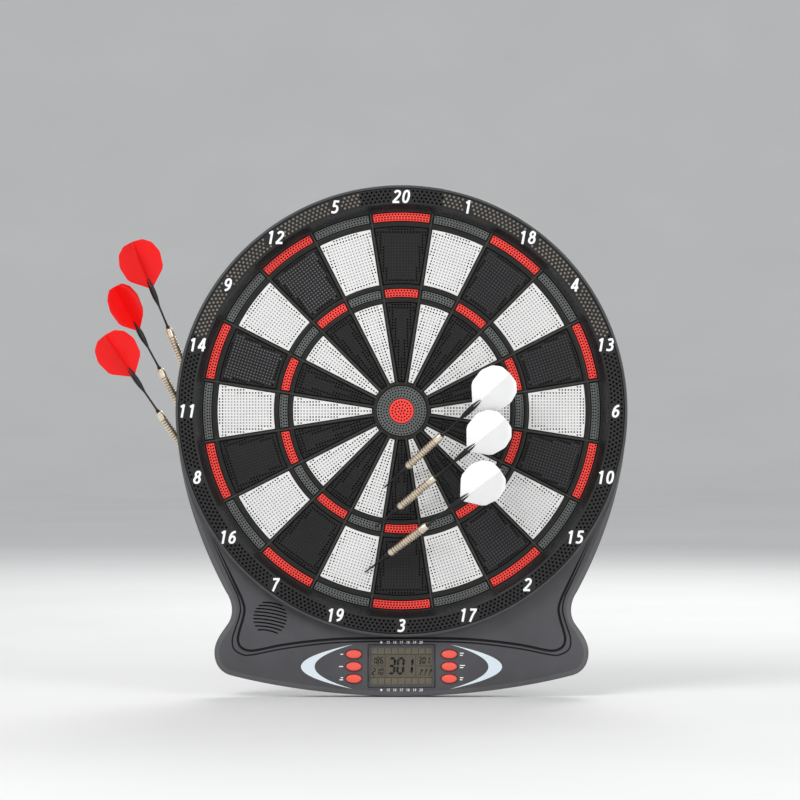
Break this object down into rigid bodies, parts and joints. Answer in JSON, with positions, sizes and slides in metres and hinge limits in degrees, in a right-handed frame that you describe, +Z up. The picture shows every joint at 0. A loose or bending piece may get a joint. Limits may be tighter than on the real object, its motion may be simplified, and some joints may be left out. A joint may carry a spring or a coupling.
{
  "type": "electronic dartboard",
  "caption": "Electronic soft-tip dartboard with pressable segments, number ring, grey skirted body, LCD control panel with buttons, battery bay, side dart storage and darts.",
  "frame": {"origin": "on the flat back, on the wall plane, straight behind the bullseye", "axes": "+Y points into the wall, the front faces -Y; +Z is up with the 20 segment at the top; +X is to the right seen from the front"},
  "size_m": [0.4608, 0.0767, 0.442],
  "materials": {
    "segment_black": "moulded, finely perforated, satin",
    "segment_white": "moulded, finely perforated, satin",
    "segment_red": "moulded, finely perforated, satin",
    "segment_slate": "moulded, finely perforated, satin",
    "black_plastic": "moulded ABS, fine texture",
    "grey_plastic": "moulded ABS, fine texture",
    "foam": "open-cell foam",
    "clear_film": "polyester film",
    "clear_lens": "clear acrylic",
    "lcd_panel": "liquid-crystal panel",
    "circuit_board": "solder-masked laminate",
    "grey_rubber": "silicone",
    "coral_rubber": "soft-touch moulding",
    "speaker_metal": "stamped frame and magnet",
    "battery_jacket": "printed shrink jacket",
    "bright_steel": "nickel plated",
    "wire_jacket": "PVC insulation",
    "white_dart": "plated barrel, black plastic point and shaft, white flight",
    "red_dart": "plated barrel, black plastic point and shaft, red flight"
  },
  "bodies": {
    "board": {"spider_web": "black_plastic", "number_ring": "black_plastic", "dart_holder": "black_plastic", "rear_housing": "black_plastic", "front_cover": "grey_plastic", "front_rim": "grey_plastic", "foam_pad": "foam", "membrane_sheet": "clear_film", "membrane_tail": "clear_film", "lcd_lens": "clear_lens", "lcd_module": "lcd_panel", "main_board": "circuit_board", "keypad_mat": "grey_rubber", "speaker": "speaker_metal", "battery_1": "battery_jacket", "battery_2": "battery_jacket", "battery_3": "battery_jacket", "battery_contacts_left": "bright_steel", "battery_contacts_right": "bright_steel", "screw_upper_right": "bright_steel", "screw_upper_left": "bright_steel", "screw_lower_right": "bright_steel", "screw_lower_left": "bright_steel", "battery_lead": "wire_jacket", "speaker_lead": "wire_jacket"},
    "number_20": {"segments_20": "segment_black"},
    "number_1": {"segments_1": "segment_white"},
    "number_18": {"segments_18": "segment_black"},
    "number_4": {"segments_4": "segment_white"},
    "number_13": {"segments_13": "segment_black"},
    "number_6": {"segments_6": "segment_white"},
    "number_10": {"segments_10": "segment_black"},
    "number_15": {"segments_15": "segment_white"},
    "number_2": {"segments_2": "segment_black"},
    "number_17": {"segments_17": "segment_white"},
    "number_3": {"segments_3": "segment_black"},
    "number_19": {"segments_19": "segment_white"},
    "number_7": {"segments_7": "segment_black"},
    "number_16": {"segments_16": "segment_white"},
    "number_8": {"segments_8": "segment_black"},
    "number_11": {"segments_11": "segment_white"},
    "number_14": {"segments_14": "segment_black"},
    "number_9": {"segments_9": "segment_white"},
    "number_12": {"segments_12": "segment_black"},
    "number_5": {"segments_5": "segment_white"},
    "bull": {"bullseye": "segment_red"},
    "outer_bull_ring": {"outer_bull": "segment_slate"},
    "button_left_1_key": {"button_left_1": "coral_rubber"},
    "button_right_1_key": {"button_right_1": "coral_rubber"},
    "button_left_2_key": {"button_left_2": "coral_rubber"},
    "button_right_2_key": {"button_right_2": "coral_rubber"},
    "button_left_3_key": {"button_left_3": "coral_rubber"},
    "button_right_3_key": {"button_right_3": "coral_rubber"},
    "door": {"battery_door": "black_plastic"},
    "thrown_dart_1_body": {"thrown_dart_1": "white_dart"},
    "thrown_dart_2_body": {"thrown_dart_2": "white_dart"},
    "thrown_dart_3_body": {"thrown_dart_3": "white_dart"},
    "stored_dart_1_body": {"stored_dart_1": "red_dart"},
    "stored_dart_2_body": {"stored_dart_2": "red_dart"},
    "stored_dart_3_body": {"stored_dart_3": "red_dart"}
  },
  "joints": [
    {"name": "press_20", "type": "slide", "parent": "board", "child": "number_20", "axis": [0, 1, 0], "range_m": [0, 0.001], "stiffness_N_per_m": 400, "springref_m": -0.0003},
    {"name": "press_1", "type": "slide", "parent": "board", "child": "number_1", "axis": [0, 1, 0], "range_m": [0, 0.001], "stiffness_N_per_m": 400, "springref_m": -0.0003},
    {"name": "press_18", "type": "slide", "parent": "board", "child": "number_18", "axis": [0, 1, 0], "range_m": [0, 0.001], "stiffness_N_per_m": 400, "springref_m": -0.0003},
    {"name": "press_4", "type": "slide", "parent": "board", "child": "number_4", "axis": [0, 1, 0], "range_m": [0, 0.001], "stiffness_N_per_m": 400, "springref_m": -0.0003},
    {"name": "press_13", "type": "slide", "parent": "board", "child": "number_13", "axis": [0, 1, 0], "range_m": [0, 0.001], "stiffness_N_per_m": 400, "springref_m": -0.0003},
    {"name": "press_6", "type": "slide", "parent": "board", "child": "number_6", "axis": [0, 1, 0], "range_m": [0, 0.001], "stiffness_N_per_m": 400, "springref_m": -0.0003},
    {"name": "press_10", "type": "slide", "parent": "board", "child": "number_10", "axis": [0, 1, 0], "range_m": [0, 0.001], "stiffness_N_per_m": 400, "springref_m": -0.0003},
    {"name": "press_15", "type": "slide", "parent": "board", "child": "number_15", "axis": [0, 1, 0], "range_m": [0, 0.001], "stiffness_N_per_m": 400, "springref_m": -0.0003},
    {"name": "press_2", "type": "slide", "parent": "board", "child": "number_2", "axis": [0, 1, 0], "range_m": [0, 0.001], "stiffness_N_per_m": 400, "springref_m": -0.0003},
    {"name": "press_17", "type": "slide", "parent": "board", "child": "number_17", "axis": [0, 1, 0], "range_m": [0, 0.001], "stiffness_N_per_m": 400, "springref_m": -0.0003},
    {"name": "press_3", "type": "slide", "parent": "board", "child": "number_3", "axis": [0, 1, 0], "range_m": [0, 0.001], "stiffness_N_per_m": 400, "springref_m": -0.0003},
    {"name": "press_19", "type": "slide", "parent": "board", "child": "number_19", "axis": [0, 1, 0], "range_m": [0, 0.001], "stiffness_N_per_m": 400, "springref_m": -0.0003},
    {"name": "press_7", "type": "slide", "parent": "board", "child": "number_7", "axis": [0, 1, 0], "range_m": [0, 0.001], "stiffness_N_per_m": 400, "springref_m": -0.0003},
    {"name": "press_16", "type": "slide", "parent": "board", "child": "number_16", "axis": [0, 1, 0], "range_m": [0, 0.001], "stiffness_N_per_m": 400, "springref_m": -0.0003},
    {"name": "press_8", "type": "slide", "parent": "board", "child": "number_8", "axis": [0, 1, 0], "range_m": [0, 0.001], "stiffness_N_per_m": 400, "springref_m": -0.0003},
    {"name": "press_11", "type": "slide", "parent": "board", "child": "number_11", "axis": [0, 1, 0], "range_m": [0, 0.001], "stiffness_N_per_m": 400, "springref_m": -0.0003},
    {"name": "press_14", "type": "slide", "parent": "board", "child": "number_14", "axis": [0, 1, 0], "range_m": [0, 0.001], "stiffness_N_per_m": 400, "springref_m": -0.0003},
    {"name": "press_9", "type": "slide", "parent": "board", "child": "number_9", "axis": [0, 1, 0], "range_m": [0, 0.001], "stiffness_N_per_m": 400, "springref_m": -0.0003},
    {"name": "press_12", "type": "slide", "parent": "board", "child": "number_12", "axis": [0, 1, 0], "range_m": [0, 0.001], "stiffness_N_per_m": 400, "springref_m": -0.0003},
    {"name": "press_5", "type": "slide", "parent": "board", "child": "number_5", "axis": [0, 1, 0], "range_m": [0, 0.001], "stiffness_N_per_m": 400, "springref_m": -0.0003},
    {"name": "press_bull", "type": "slide", "parent": "board", "child": "bull", "axis": [0, 1, 0], "range_m": [0, 0.001], "stiffness_N_per_m": 300, "springref_m": -0.0003},
    {"name": "press_outer_bull", "type": "slide", "parent": "board", "child": "outer_bull_ring", "axis": [0, 1, 0], "range_m": [0, 0.001], "stiffness_N_per_m": 300, "springref_m": -0.0003},
    {"name": "press_button_left_1", "type": "slide", "parent": "board", "child": "button_left_1_key", "axis": [0, 1, 0], "range_m": [0, 0.0012], "stiffness_N_per_m": 300, "springref_m": -0.0003},
    {"name": "press_button_right_1", "type": "slide", "parent": "board", "child": "button_right_1_key", "axis": [0, 1, 0], "range_m": [0, 0.0012], "stiffness_N_per_m": 300, "springref_m": -0.0003},
    {"name": "press_button_left_2", "type": "slide", "parent": "board", "child": "button_left_2_key", "axis": [0, 1, 0], "range_m": [0, 0.0012], "stiffness_N_per_m": 300, "springref_m": -0.0003},
    {"name": "press_button_right_2", "type": "slide", "parent": "board", "child": "button_right_2_key", "axis": [0, 1, 0], "range_m": [0, 0.0012], "stiffness_N_per_m": 300, "springref_m": -0.0003},
    {"name": "press_button_left_3", "type": "slide", "parent": "board", "child": "button_left_3_key", "axis": [0, 1, 0], "range_m": [0, 0.0012], "stiffness_N_per_m": 300, "springref_m": -0.0003},
    {"name": "press_button_right_3", "type": "slide", "parent": "board", "child": "button_right_3_key", "axis": [0, 1, 0], "range_m": [0, 0.0012], "stiffness_N_per_m": 300, "springref_m": -0.0003},
    {"name": "door_swing", "type": "hinge", "parent": "board", "child": "door", "pos_m": [0.11275, -0.0009, -0.2082], "axis": [-1, 0, 0], "range_deg": [0, 95]},
    {"name": "pull_thrown_dart_1", "type": "slide", "parent": "number_19", "child": "thrown_dart_1_body", "axis": [0.7098, -0.2756, 0.6482], "range_m": [0, 0.03]},
    {"name": "pull_thrown_dart_2", "type": "slide", "parent": "number_19", "child": "thrown_dart_2_body", "axis": [0.736, -0.2672, 0.622], "range_m": [0, 0.03]},
    {"name": "pull_thrown_dart_3", "type": "slide", "parent": "number_19", "child": "thrown_dart_3_body", "axis": [0.7653, -0.2588, 0.5894], "range_m": [0, 0.03]},
    {"name": "pull_stored_dart_1", "type": "slide", "parent": "board", "child": "stored_dart_1_body", "axis": [-0.37, -0.1564, 0.9158], "range_m": [0, 0.045]},
    {"name": "pull_stored_dart_2", "type": "slide", "parent": "board", "child": "stored_dart_2_body", "axis": [-0.4637, -0.1564, 0.8721], "range_m": [0, 0.045]},
    {"name": "pull_stored_dart_3", "type": "slide", "parent": "board", "child": "stored_dart_3_body", "axis": [-0.5523, -0.1564, 0.8188], "range_m": [0, 0.045]}
  ]
}
